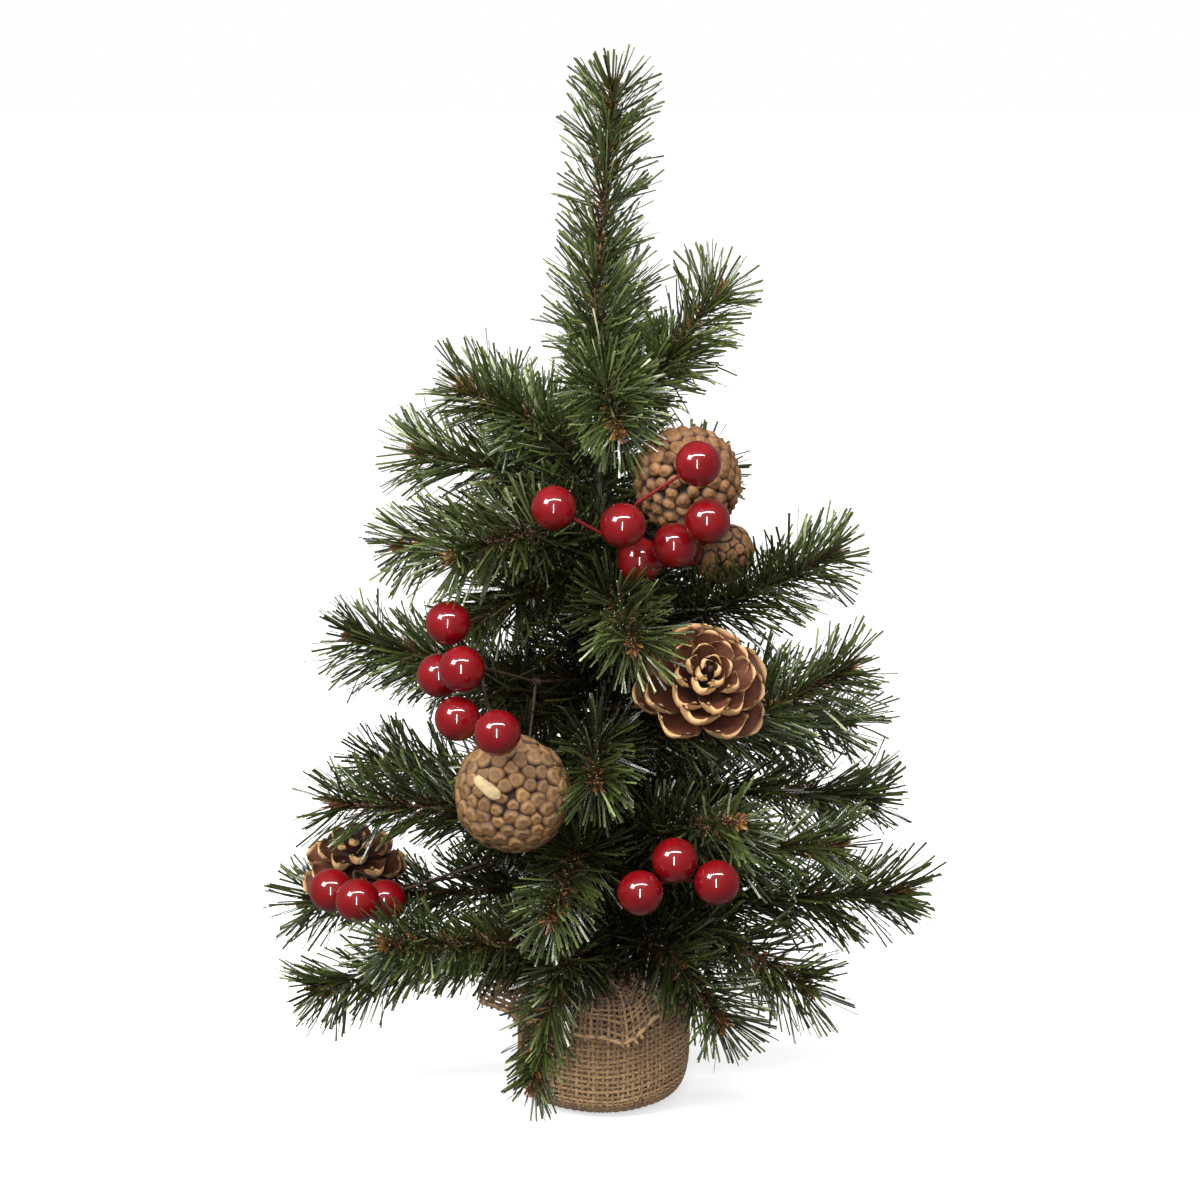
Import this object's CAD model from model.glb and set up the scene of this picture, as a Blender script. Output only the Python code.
import math

import bpy
import numpy as np
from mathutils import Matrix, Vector


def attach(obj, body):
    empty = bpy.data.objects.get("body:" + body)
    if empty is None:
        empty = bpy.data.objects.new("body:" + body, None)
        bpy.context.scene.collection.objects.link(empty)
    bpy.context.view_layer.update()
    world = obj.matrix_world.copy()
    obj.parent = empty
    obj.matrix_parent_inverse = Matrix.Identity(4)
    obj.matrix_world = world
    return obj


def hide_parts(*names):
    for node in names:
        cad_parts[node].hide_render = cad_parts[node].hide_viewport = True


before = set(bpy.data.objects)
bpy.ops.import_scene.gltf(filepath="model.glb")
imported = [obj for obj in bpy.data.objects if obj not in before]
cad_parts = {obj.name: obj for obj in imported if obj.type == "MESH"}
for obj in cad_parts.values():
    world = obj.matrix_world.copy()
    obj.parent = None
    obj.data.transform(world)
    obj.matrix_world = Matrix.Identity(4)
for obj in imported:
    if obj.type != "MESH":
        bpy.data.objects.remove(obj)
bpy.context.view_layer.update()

# Artificial tabletop tree in a burlap sack: the looks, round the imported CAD
# part. Lengths here are millimetres until Shape.make writes metres; +Z is up
# and -Y is the front. Azimuth is counted from +X towards +Y, in degrees.

MM = 0.001
GOLDEN_TURN = math.radians(137.508)
CAP_RISE = 0.2
DIMPLE_WIDTH = 0.30

# The CAD's centrelines
ROOT_OFFSET = 6.0
KNOT_RADIUS = 1.75
FIRST_RUN = 0.45
ARC_SHARE = 0.45
SLEEVE_START = 26.0
BRANCHES = {
    "left_top": (272, [(-168, 45, 68, 20)]),
    "left_high": (254, [(170, 26, 81, 15), (122, 38, 86, 10)]),
    "left_front": (236, [(-170, 21, 85, 30), (-137, 23, 82, 30), (-150, -20, 62, 5)]),
    "right_high": (205, [(14, 8, 102, -15)]),
    "front_high": (196, [(-82, 42, 97, 55)]),
    "back_high": (222, [(58, 34, 96, 12), (98, 14, 98, 15)]),
    "right_mid": (160, [(-4, 3, 107, -25), (31, -6, 122, -4)]),
    "left_mid": (165, [(176, 22, 109, 5), (140, 16, 108, 10)]),
    "front_mid": (138, [(-90, 38, 90, 45), (-150, 25, 60, 10)]),
    "right_low": (128, [(16, 3, 120, 10), (48, 26, 112, 10)]),
    "front_right": (105, [(-15, 10, 100, 5), (-54, 28, 92, 12)]),
    "left_low": (112, [(-170, 19, 114, 15), (151, 18, 112, 10)]),
    "back_mid": (118, [(82, 20, 118, 15)]),
    "front_low": (98, [(-103, 30, 99, 50)]),
    "right_base": (75, [(3, 11, 127, 10), (62, 8, 122, 10)]),
    "back_left": (85, [(162, 1, 134, 10), (122, 16, 122, 10)]),
    "right_front": (72, [(-33, 14, 103, 35), (-54, 6, 84, 38)]),
    "front_base": (66, [(-110, 8, 102, 60)]),
    "left_base": (64, [(180, 3, 122, 20), (-138, 15, 116, 5)]),
}
CROWN_ROOT = 292.0
CROWN_SHOOTS = [
    (CROWN_ROOT, (165, 86, 50), (20, 85, 92), 18.0),
    (CROWN_ROOT + 4, (5, 38, 30), (5, 52, 44), 9.0),
    (CROWN_ROOT + 7, (-86, 35, 20), (-80, -30, 34), 9.0),
    (CROWN_ROOT + 10, (82, 45, 30), (82, 38, 44), 12.0),
]
BERRY_RADIUS = 9.4
STEM_RADIUS = 0.75
STEM_BEND = 4.0
STEM_STEP = 0.5
TAPE_PITCH = 3.4
COIL_TURNS = 3.5
COIL_PITCH = 1.15
COIL_RADIUS = 1.25
BERRY_SEAT = 3.0

# A stem's point is a place, the number of one of the pick's knots, or the
# name of the cone that the stem carries. A berry stands at its stem's end.
PICKS = {
    "pick_top": {
        "knots": [(2.5, -17.6, 209.8), (24, -30, 236), (6, -40, 248)],
        "stems": [[0, 1], [1, (16, -28, 248), 2], [1, (28, -8, 248), (41, 6, 267), "cone_top"]],
        "berries": [
            [2, (14, -56, 267), (38, -72, 285)],
            [1, (38, -42, 240), (42, -66, 261)],
            [1, (29, -54, 249)],
            [2, (8, -66, 259)],
            [1, (15, -43, 241)],
            [2, (-20, -58, 265)],
        ],
    },
    "pick_left": {
        "knots": [(-4.0, -4.5, 184.0), (-28, -26, 187), (-50, -46, 197)],
        "stems": [[0, 1], [1, 2], [1, "cone_front"]],
        "berries": [
            [2, (-63, -60, 218)],
            [2, (-57, -75, 202)],
            [2, (-67, -58, 196)],
            [2, (-59, -72, 181)],
            [2, (-48, -62, 188), (-42, -100, 181)],
        ],
    },
    "pick_right": {
        "knots": [(1.9, -5.7, 90.0), (28, -48, 108)],
        "stems": [[0, 1]],
        "berries": [[1, (29, -80, 124)], [1, (15, -88, 112.5)], [1, (46, -85, 116)]],
    },
    "pick_far": {
        "knots": [(-19.0, 0.0, 114.0)],
        "stems": [[0, (-84, -26, 98)], [0, (-60, 6, 96), (-92, 18, 87), "cone_left"]],
        "berries": [
            [(-84, -26, 98), (-113, -43, 102)],
            [(-84, -26, 98), (-104, -40, 110), (-101, -60, 102)],
            [(-84, -26, 98), (-91, -42, 97)],
        ],
    },
    "pick_open": {
        "knots": [(3.0, -5.2, 172.0)],
        "stems": [[0, (18, -36, 178), "cone_open"]],
        "berries": [],
    },
}
BROWN_PICKS = ("pick_left", "pick_far")
CONE_PIVOT_GAP = 1.6
CONES = {
    "cone_top": ((36, -28, 274), (-0.30, -0.92, -0.25), 44.0, 22.5),
    "cone_front": ((-36, -70, 150), (-0.15, -0.98, 0.10), 44.0, 24.0),
    "cone_open": ((39, -70, 195), (0.05, -0.80, 0.60), 36.0, 25.5),
    "cone_left": ((-106, 8, 105), (0.10, -0.50, 0.85), 32.0, 19.0),
    "cone_back": ((50, 0, 238), (0.30, -0.90, -0.30), 26.0, 13.0),
}
CUT_STALK = ((-2.2, -0.5, 0.4), (-12.2, -1.5, 9.6))
CONE_BACK_STEM = [(18.5, 4.6, 207.2), (34, 14, 226), "cone_back"]

# Needles
NEEDLES_PER_MM = 5.4
STUBS_PER_MM = 2.6
TIP_STUBS_PER_MM = 4.5
NEEDLE_WIDTH = 1.0
NEEDLE_RIDGE = 0.20
NEEDLE_LENGTH = (24.6, 1.4)
NEEDLE_SWEEP = (47.0, 9.0)
TIP_SWEEP = 46.0
TIP_SHORTER = 0.20
OUTER_REACH = 92.0
INNER_REACH = 42.0
INNER_PER_MM = 5.0
TRUNK_WRAPS = [((64, 287), (29.0, 5.0), (68.0, 20.0)), ((168, 228), (42.0, 6.0), (74.0, 20.0))]
TIP_STUBS = 7.0
BAND_PITCH = 40.0
NEEDLE_STATIONS = 4
CLUMP_SPAN = 8.0
CLUMP_LEAN = 7.5
CLUMP_DRIFT = 0.17
CLUMP_LENGTH = 0.08
COMBED = 0.13
FLOOR_GAP = 0.4
TRUNK_CLEAR = (4.4, 289.0)
SACK_CLEAR = (38.6, 44.0)


# ---------------------------------------------------------------- geometry
def unit(vectors):
    return vectors / np.maximum(np.linalg.norm(vectors, axis=-1, keepdims=True), 1e-12)


def heading(azimuth, rise):
    azimuth, rise = math.radians(azimuth), math.radians(rise)
    level = math.cos(rise)
    return np.array([level * math.cos(azimuth), level * math.sin(azimuth), math.sin(rise)])


def hump(values, middle, width):
    return np.exp(-(((values - middle) / width) ** 2))


def smooth_step(values):
    values = np.clip(values, 0.0, 1.0)
    return values * values * (3 - 2 * values)


def full_turn(sides):
    return np.linspace(0, 2 * math.pi, sides, endpoint=False)


def distances(line):
    """How far along a polyline each of its points lies."""
    return np.concatenate([[0.0], np.cumsum(np.linalg.norm(np.diff(line, axis=0), axis=1))])


def resample(line, step):
    """Points a step apart along a polyline."""
    along = distances(line)
    wanted = np.linspace(0.0, along[-1], max(3, int(round(along[-1] / step)) + 1))
    return np.stack([np.interp(wanted, along, line[:, k]) for k in range(line.shape[1])], axis=1)


def rounded(points, trims, step):
    """Straight runs whose corners are rounded from trim before to trim after."""
    points = [np.asarray(p, float) for p in points]
    line = [points[0]]
    for before, corner, after, trim in zip(points, points[1:], points[2:], trims):
        way_in, way_out = unit(corner - before), unit(after - corner)
        start, end = corner - way_in * trim, corner + way_out * trim
        for t in np.linspace(0, 1, 9):
            line.append((1 - t) ** 2 * start + 2 * t * (1 - t) * corner + t * t * end)
    line.append(points[-1])
    return resample(np.array(line), step)


def moving_frame(line):
    """Tangent and two crosswise directions that don't spin, at each point."""
    tangent = unit(np.gradient(line, axis=0))
    normal = np.zeros_like(line)
    helper = np.array([0.0, 0.0, 1.0]) if abs(tangent[0, 2]) < 0.9 else np.array([1.0, 0.0, 0.0])
    normal[0] = unit(np.cross(tangent[0], helper))
    for k in range(1, len(line)):
        carried = normal[k - 1] - tangent[k] * (normal[k - 1] @ tangent[k])
        normal[k] = unit(carried)
    return tangent, normal, np.cross(tangent, normal)


def axis_frame(way):
    """Two directions square to an axis."""
    way = unit(np.asarray(way, float))
    helper = np.array([0.0, 0.0, 1.0]) if abs(way[2]) < 0.9 else np.array([1.0, 0.0, 0.0])
    across = unit(np.cross(way, helper))
    return way, across, np.cross(way, across)


def into_scene(name, data):
    obj = bpy.data.objects.new(name, data)
    bpy.context.scene.collection.objects.link(obj)
    return obj


class Shape:
    """The points and faces of one mesh, gathered from many small shapes."""

    def __init__(self):
        self.points, self.quads, self.tris, self.marks, self.count = [], [], [], {}, 0

    def add(self, points, quads=None, tris=None, **marks):
        points = np.asarray(points, float).reshape(-1, 3)
        if quads is not None and len(quads):
            self.quads.append(np.asarray(quads).reshape(-1, 4) + self.count)
        if tris is not None and len(tris):
            self.tris.append(np.asarray(tris).reshape(-1, 3) + self.count)
        for key, values in marks.items():
            full = np.broadcast_to(np.asarray(values, float), (len(points),))
            self.marks.setdefault(key, []).append(full)
        self.points.append(points)
        self.count += len(points)

    def make(self, name, material, body, slot, replaces=(), smooth=True, uv=None):
        points = np.concatenate(self.points) * MM
        quads = np.concatenate(self.quads) if self.quads else np.zeros((0, 4), int)
        tris = np.concatenate(self.tris) if self.tris else np.zeros((0, 3), int)
        corners = np.concatenate([quads.ravel(), tris.ravel()]).astype(np.int32)
        starts = np.concatenate([np.arange(len(quads)) * 4, len(quads) * 4 + np.arange(len(tris)) * 3])
        mesh = bpy.data.meshes.new(name)
        mesh.vertices.add(len(points))
        mesh.vertices.foreach_set("co", points.ravel().astype(np.float32))
        mesh.loops.add(len(corners))
        mesh.loops.foreach_set("vertex_index", corners)
        mesh.polygons.add(len(starts))
        mesh.polygons.foreach_set("loop_start", starts.astype(np.int32))
        mesh.polygons.foreach_set("use_smooth", np.full(len(starts), smooth))
        for key, values in self.marks.items():
            layer = mesh.attributes.new(key, "FLOAT", "POINT")
            layer.data.foreach_set("value", np.concatenate(values).astype(np.float32))
        mesh.update(calc_edges=True)
        if uv is not None:
            layer = mesh.uv_layers.new(name="OFBake")
            layer.data.foreach_set("uv", uv.ravel().astype(np.float32))
        obj = into_scene(name, mesh)
        mesh.materials.append(material)
        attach(obj, body)
        if replaces:
            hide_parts(*replaces)
        return obj


def ring_faces(stations, sides, closed=False):
    """Quads of a tube whose points run station by station."""
    low = np.arange(stations if closed else stations - 1)
    high = (low + 1) % stations
    side = np.arange(sides)
    after = (side + 1) % sides
    corners = ((low, side), (low, after), (high, after), (high, side))
    return np.stack([row[:, None] * sides + column for row, column in corners], axis=-1).reshape(-1, 4)


def add_tube(shape, line, radius, sides=8, **marks):
    """A round tube along a line. Radius is a number, one per point, or points by sides."""
    tangent, normal, cross = moving_frame(line)
    angle = full_turn(sides)
    radius = np.asarray(radius, float)
    radius = np.broadcast_to(radius if radius.ndim == 2 else radius.reshape(-1, 1), (len(line), sides))
    ring = normal[:, None] * np.cos(angle)[None, :, None] + cross[:, None] * np.sin(angle)[None, :, None]
    points = (line[:, None] + ring * radius[..., None]).reshape(-1, 3)
    start = line[0] - tangent[0] * CAP_RISE * radius[0, 0]
    end = line[-1] + tangent[-1] * CAP_RISE * radius[-1, 0]
    first, last = len(points), len(points) + 1
    base = (len(line) - 1) * sides
    tris = []
    for k in range(sides):
        after = (k + 1) % sides
        tris.append((first, after, k))
        tris.append((last, base + k, base + after))
    shape.add(np.concatenate([points, [start, end]]), ring_faces(len(line), sides), tris, **marks)


def add_ball(shape, centre, radii, axis, rings, sides, dimple=0.0, rng=None, rough=0.0, **marks):
    """A ball with its pole along axis; dimple sinks the pole opposite the axis."""
    way, across, up = axis_frame(axis)
    wide, deep, tall = np.broadcast_to(np.asarray(radii, float), (3,))
    p, t = np.meshgrid(np.linspace(0, math.pi, rings + 1)[1:-1], full_turn(sides), indexing="ij")
    sunk = 1.0 - dimple * hump(p, math.pi, DIMPLE_WIDTH)
    if rng is not None:
        phase = rng.uniform(0, 6.28, 4)
        lumps = np.sin(3 * t + phase[0]) * np.sin(2 * p + phase[1])
        lumps = lumps + np.sin(5 * t + phase[2]) * np.sin(4 * p + phase[3])
        sunk = sunk * (1 + rough * lumps)
    points = (np.cos(p) * tall * sunk)[..., None] * way
    points = points + (np.sin(p) * np.cos(t) * wide * sunk)[..., None] * across
    points = points + (np.sin(p) * np.sin(t) * deep * sunk)[..., None] * up
    poles = [way * tall, -way * tall * (1.0 - dimple)]
    points = np.concatenate([points.reshape(-1, 3), poles]) + np.asarray(centre, float)
    top, bottom = len(points) - 2, len(points) - 1
    side = np.arange(sides)
    after = (side + 1) % sides
    base = (rings - 2) * sides
    tris = np.concatenate([
        np.stack([np.full(sides, top), side, after], axis=1),
        np.stack([np.full(sides, bottom), base + after, base + side], axis=1),
    ])
    shape.add(points, ring_faces(rings - 1, sides)[:, ::-1], tris, **marks)


# ---------------------------------------------------------------- materials
class Nodes:
    """Makes and links the nodes of a material or a world. A value is a socket, a number or a tuple."""

    def __init__(self, owner):
        owner.use_nodes = True
        self.owner, self.tree = owner, owner.node_tree

    def put(self, node, inputs):
        for key, value in inputs.items():
            socket = node.inputs[key]
            if isinstance(value, bpy.types.NodeSocket):
                self.tree.links.new(value, socket)
            elif isinstance(value, tuple) and len(socket.default_value) == 4:
                socket.default_value = (*value, 1.0)
            else:
                socket.default_value = value
        return node

    def new(self, kind, inputs=None):
        return self.put(self.tree.nodes.new("ShaderNode" + kind), inputs or {})

    def noise(self, scale, detail=4.0, rough=0.55, stretch=(1, 1, 1)):
        place = self.new("TexCoord").outputs["Object"]
        vector = self.new("Mapping", {"Vector": place, "Scale": stretch}).outputs["Vector"]
        inputs = {"Vector": vector, "Scale": scale, "Detail": detail, "Roughness": rough}
        return self.new("TexNoise", inputs).outputs["Fac"]

    def mark(self, name):
        node = self.new("Attribute")
        node.attribute_name = name
        return node.outputs["Fac"]

    def ramp(self, value, *stops):
        node = self.new("ValToRGB", {"Fac": value})
        elements = node.color_ramp.elements
        while len(elements) < len(stops):
            elements.new(0.5)
        for element, (place, colour) in zip(elements, stops):
            element.position = place
            element.color = (*colour, 1.0)
        return node.outputs["Color"]

    def mix(self, factor, first, second, kind="MIX"):
        node = self.new("Mix")
        node.data_type = "RGBA"
        node.blend_type = kind
        return self.put(node, {0: factor, 6: first, 7: second}).outputs[2]

    def multiply(self, first, second, factor=1.0):
        return self.mix(factor, first, second, "MULTIPLY")

    def spread(self, value, low, high, source=(0.0, 1.0)):
        inputs = {"Value": value, "From Min": source[0], "From Max": source[1], "To Min": low, "To Max": high}
        return self.new("MapRange", inputs).outputs["Result"]

    def bump(self, height, strength, distance):
        inputs = {"Height": height, "Strength": strength, "Distance": distance}
        return self.new("Bump", inputs).outputs["Normal"]

    def wear(self, inputs):
        """Sets the surface and hands back the material."""
        self.put(self.tree.nodes["Principled BSDF"], inputs)
        return self.owner


def new_look(name):
    return Nodes(bpy.data.materials.new(name))


def needle_material():
    """Marks: shade and stub of each needle, reach along it, depth of its place in the tree."""
    look = new_look("pvc_needles")
    shade = look.mark("shade")
    green = look.ramp(
        shade,
        (0.0, (0.016, 0.021, 0.0055)),
        (0.30, (0.031, 0.043, 0.0105)),
        (0.60, (0.062, 0.087, 0.024)),
        (0.84, (0.135, 0.178, 0.066)),
        (1.0, (0.36, 0.42, 0.26)),
    )
    stops = (0.0, (0.075, 0.032, 0.012)), (0.55, (0.19, 0.090, 0.034)), (1.0, (0.26, 0.19, 0.055))
    brown = look.ramp(shade, *stops)
    colour = look.mix(look.mark("stub"), green, brown)
    foot = look.ramp(
        look.mark("reach"),
        (0.0, (0.36, 0.28, 0.20)),
        (0.45, (0.76, 0.74, 0.70)),
        (0.9, (1.05, 1.05, 1.05)),
        (1.0, (1.35, 1.30, 1.2)),
    )
    inner = look.ramp(
        look.mark("depth"), (0.12, (0.26, 0.17, 0.12)), (0.42, (0.50, 0.43, 0.38)), (0.80, (1.08, 1.08, 1.08))
    )
    patch = look.ramp(look.noise(60.0, 3.0), (0.3, (0.72, 0.76, 0.74)), (0.7, (1.20, 1.12, 1.0)))
    for layer in (foot, inner, patch):
        colour = look.multiply(colour, layer)
    grain = look.noise(900.0, 2.0)
    return look.wear({
        "Base Color": colour,
        "Roughness": look.spread(grain, 0.18, 0.38),
        "Normal": look.bump(grain, 0.25, 0.0001),
        "Specular IOR Level": 0.75,
    })


def wire_material():
    look = new_look("twisted_wire")
    noise = look.noise(300.0, 6.0, 0.6)
    stops = (0.25, (0.020, 0.026, 0.010)), (0.5, (0.075, 0.036, 0.016)), (0.8, (0.17, 0.085, 0.035))
    rust = look.ramp(noise, *stops)
    return look.wear({
        "Base Color": rust,
        "Roughness": look.spread(noise, 0.35, 0.8),
        "Normal": look.bump(noise, 0.3, 0.0001),
        "Metallic": 0.35,
    })


def berry_material():
    """The mark seat is where the stem enters."""
    look = new_look("red_lacquer")
    noise = look.noise(120.0, 3.0)
    red = look.ramp(noise, (0.25, (0.102, 0.0008, 0.0022)), (0.75, (0.165, 0.0016, 0.0040)))
    specks = look.ramp(look.noise(2600.0, 2.0, 0.7), (0.66, (1, 1, 1)), (0.74, (0.72, 0.72, 0.72)))
    stained = look.multiply(red, specks, 0.6)
    return look.wear({
        "Base Color": look.mix(look.mark("seat"), stained, (0.05, 0.004, 0.004)),
        "Roughness": look.spread(noise, 0.30, 0.42),
        "Normal": look.bump(noise, 0.05, 0.0003),
        "Specular IOR Level": 0.1,
        "Coat Weight": 1.0,
        "Coat Roughness": 0.02,
        "Coat IOR": 1.55,
    })


def stem_material():
    """Red tape near the berries, brown tape on the main stems (mark main)."""
    look = new_look("paper_taped_stem")
    noise = look.noise(700.0, 5.0)
    red = look.ramp(noise, (0.3, (0.085, 0.0050, 0.0055)), (0.7, (0.22, 0.011, 0.012)))
    brown = look.ramp(noise, (0.3, (0.014, 0.009, 0.005)), (0.7, (0.040, 0.022, 0.012)))
    return look.wear({
        "Base Color": look.mix(look.mark("main"), red, brown),
        "Roughness": 0.62,
        "Normal": look.bump(noise, 0.5, 0.0002),
        "Specular IOR Level": 0.3,
    })


def cone_material(name, face, ring, gap, rim):
    """Marks: ring, rim and gap of a scale take those colours; hue varies per scale."""
    look = new_look(name)
    fibre = look.noise(420.0, 6.0, 0.65)
    blotch = look.noise(110.0, 3.0)
    base = face
    for mark, colour in (("ring", ring), ("rim", rim), ("gap", gap)):
        base = look.mix(look.mark(mark), base, colour)
    streak = look.ramp(fibre, (0.28, (0.55, 0.50, 0.46)), (0.5, (1, 1, 1)), (0.75, (1.25, 1.2, 1.12)))
    warm = look.ramp(blotch, (0.3, (0.80, 0.70, 0.62)), (0.7, (1.15, 1.12, 1.06)))
    hue = look.ramp(look.mark("hue"), (0.0, (0.74, 0.68, 0.62)), (1.0, (1.18, 1.16, 1.12)))
    base = look.multiply(base, streak, 0.8)
    base = look.multiply(base, warm, 0.8)
    return look.wear({
        "Base Color": look.multiply(base, hue),
        "Roughness": look.spread(fibre, 0.55, 0.85),
        "Normal": look.bump(fibre, 0.55, 0.0005),
    })


def burlap_material(name, dark, light):
    look = new_look(name)
    fibre = look.noise(1500.0, 5.0, 0.7)
    yarn = look.ramp(look.mark("tone"), (0.0, dark), (1.0, light))
    streak = look.ramp(fibre, (0.3, (0.52, 0.48, 0.44)), (0.52, (1, 1, 1)), (0.75, (1.3, 1.28, 1.22)))
    stain = look.ramp(look.noise(55.0, 4.0), (0.3, (0.80, 0.74, 0.68)), (0.7, (1.12, 1.10, 1.06)))
    return look.wear({
        "Base Color": look.multiply(look.multiply(yarn, streak, 0.9), stain),
        "Roughness": 0.92,
        "Normal": look.bump(fibre, 0.7, 0.0004),
        "Sheen Weight": 0.15,
        "Sheen Roughness": 0.6,
    })


def plain_material(name, dark, light, scale, roughness,
                   metallic=0.0, relief=0.3, depth=0.0003, stretch=(1, 1, 1)):
    """Two-tone noise with relief, for the parts that stay as the CAD made them."""
    look = new_look(name)
    noise = look.noise(scale, 7.0, 0.6, stretch)
    return look.wear({
        "Base Color": look.ramp(noise, (0.3, dark), (0.7, light)),
        "Roughness": look.spread(noise, *roughness),
        "Normal": look.bump(noise, relief, depth),
        "Metallic": metallic,
    })


# ---------------------------------------------------------------- foliage
def cone_pivot(name):
    centre, way, length, _ = CONES[name]
    return np.array(centre, float) - unit(np.array(way, float)) * (length / 2 + CONE_PIVOT_GAP)


def push_out(points):
    """Moves points that lie in a berry, a cone, the trunk, the sack or the floor to its outside."""
    for centre in BERRY_CENTRES:
        away = points - centre
        far = np.linalg.norm(away, axis=-1, keepdims=True)
        limit = BERRY_RADIUS + 0.6
        points = np.where(far < limit, centre + away * (limit / np.maximum(far, 1e-6)), points)
    for centre, way, length, radius in CONES.values():
        centre, way = np.array(centre, float), unit(np.array(way, float))
        away = points - centre
        along = away @ way
        out = np.linalg.norm(away - along[..., None] * way, axis=-1)
        depth = np.sqrt((along / (length / 2 + 1.0)) ** 2 + (out / (radius + 0.8)) ** 2)[..., None]
        points = np.where(depth < 1.0, centre + away / np.maximum(depth, 0.05), points)
    out = np.linalg.norm(points[..., :2], axis=-1, keepdims=True)
    flat = points[..., :2]
    for radius, top in (TRUNK_CLEAR, SACK_CLEAR):
        inside = (points[..., 2:] < top) & (out < radius)
        flat = np.where(inside, points[..., :2] * (radius / np.maximum(out, 0.05)), flat)
    return np.concatenate([flat, np.maximum(points[..., 2:], FLOOR_GAP)], axis=-1)


def needle_uv(count):
    """Gives each needle its own small cell of the map."""
    cells = max(1, int(math.ceil(math.sqrt(count))))
    segments = NEEDLE_STATIONS - 1
    quads = np.zeros((segments * 3, 4, 2))
    for segment in range(segments):
        for side in range(3):
            u0, u1 = side / 3, (side + 0.94) / 3
            v0, v1 = segment / segments, (segment + 1) / segments
            quads[segment * 3 + side] = [(u0, v0), (u1, v0), (u1, v1), (u0, v1)]
    tris = np.array([[(0.0, 0.0), (0.06, 0.0), (0.03, 0.04)], [(0.0, 0.96), (0.06, 0.96), (0.03, 1.0)]])
    index = np.arange(count)
    corner = np.stack([index % cells, index // cells], axis=1) / cells
    scale = 0.84 / cells
    edge = 0.08 / cells
    quad_uv = corner[:, None, None] + edge + quads[None] * scale
    tri_uv = corner[:, None, None] + edge + tris[None] * scale
    return np.concatenate([quad_uv.reshape(-1, 2), tri_uv.reshape(-1, 2)])


def grow(rng, line, first, per_mm, length, sweep, tip_sweep, banded,
         width=NEEDLE_WIDTH, stub=False, last=None, core=0.7):
    """Needles along a wire, one row each. Length and sweep are (mean, spread)."""
    along = distances(line)
    total = along[-1]
    last = total - (0.3 if stub else 3.0) if last is None else last
    count = int((last - first) * per_mm)
    place = np.sort(rng.uniform(first, last, count))
    tangent, normal, cross = moving_frame(line)
    at = [np.stack([np.interp(place, along, data[:, k]) for k in range(3)], axis=1)
          for data in (line, tangent, normal, cross)]
    base, tangent, normal, cross = at[0], unit(at[1]), unit(at[2]), unit(at[3])
    turn = rng.uniform(0, 2 * math.pi, count)
    helix = 2 * math.pi * place / BAND_PITCH + math.pi * rng.integers(0, 2, count)
    helix += rng.normal(0, 0.62, count)
    turn = np.where(rng.uniform(0, 1, count) < banded, helix, turn)
    out = normal * np.cos(turn)[:, None] + cross * np.sin(turn)[:, None]
    phase = rng.uniform(0, 2 * math.pi, 6)
    span = place / CLUMP_SPAN
    tousle = np.sin(span + 2 * turn + phase[0]) + 0.7 * np.sin(1.9 * span - turn + phase[1])
    drift = np.sin(1.3 * span + turn + phase[2]) + 0.6 * np.sin(0.7 * span - 2 * turn + phase[3])
    lean = rng.normal(sweep[0], sweep[1], count) + CLUMP_LEAN * tousle
    near_tip = smooth_step(1.0 - (total - place) / 13.0)
    lean = lean * (1 - near_tip) + (rng.normal(tip_sweep, 13.0, count) + CLUMP_LEAN * tousle) * near_tip
    lean = np.radians(np.clip(lean, 6.0, 100.0))
    way = tangent * np.cos(lean)[:, None] + out * np.sin(lean)[:, None]
    combed = normal[-1] * math.cos(phase[4]) + cross[-1] * math.sin(phase[4]) - np.array([0, 0, 0.35])
    way = unit(way + np.cross(tangent, out) * (CLUMP_DRIFT * drift)[:, None] + COMBED * combed)
    long = np.clip(rng.normal(length[0], length[1], count), 0.5 * length[0], 1.15 * length[0])
    long = long * (1 + CLUMP_LENGTH * np.sin(0.8 * span + turn + phase[5])) * (1 - TIP_SHORTER * near_tip)
    if not stub:
        short = rng.uniform(0, 1, count) < 0.10
        long = np.where(short, long * rng.uniform(0.45, 0.85, count), long)
    sideways = unit(np.cross(way, rng.normal(0, 1, (count, 3))))
    bend = sideways * (long * np.abs(rng.normal(0, 0.085, count)))[:, None]
    bend += tangent * (long * rng.uniform(-0.02, 0.10, count))[:, None]
    wild = rng.uniform(0, 1, count) < 0.05
    bend = np.where(wild[:, None], bend * 3.0, bend)
    return {
        "base": base + out * core,
        "way": way,
        "bend": bend,
        "length": long,
        "twist": rng.normal(0, 0.9, count),
        "facing": rng.normal(0, 1, (count, 3)) + np.array([0, 0, 0.6]),
        "width": width * rng.uniform(0.86, 1.08, count),
        "shade": np.clip(rng.beta(1.6, 2.4, count), 0, 1),
        "stub": np.full(count, 1.0 if stub else 0.0),
    }


def join_needles(groups):
    return {key: np.concatenate([group[key] for group in groups]) for key in groups[0]}


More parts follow.
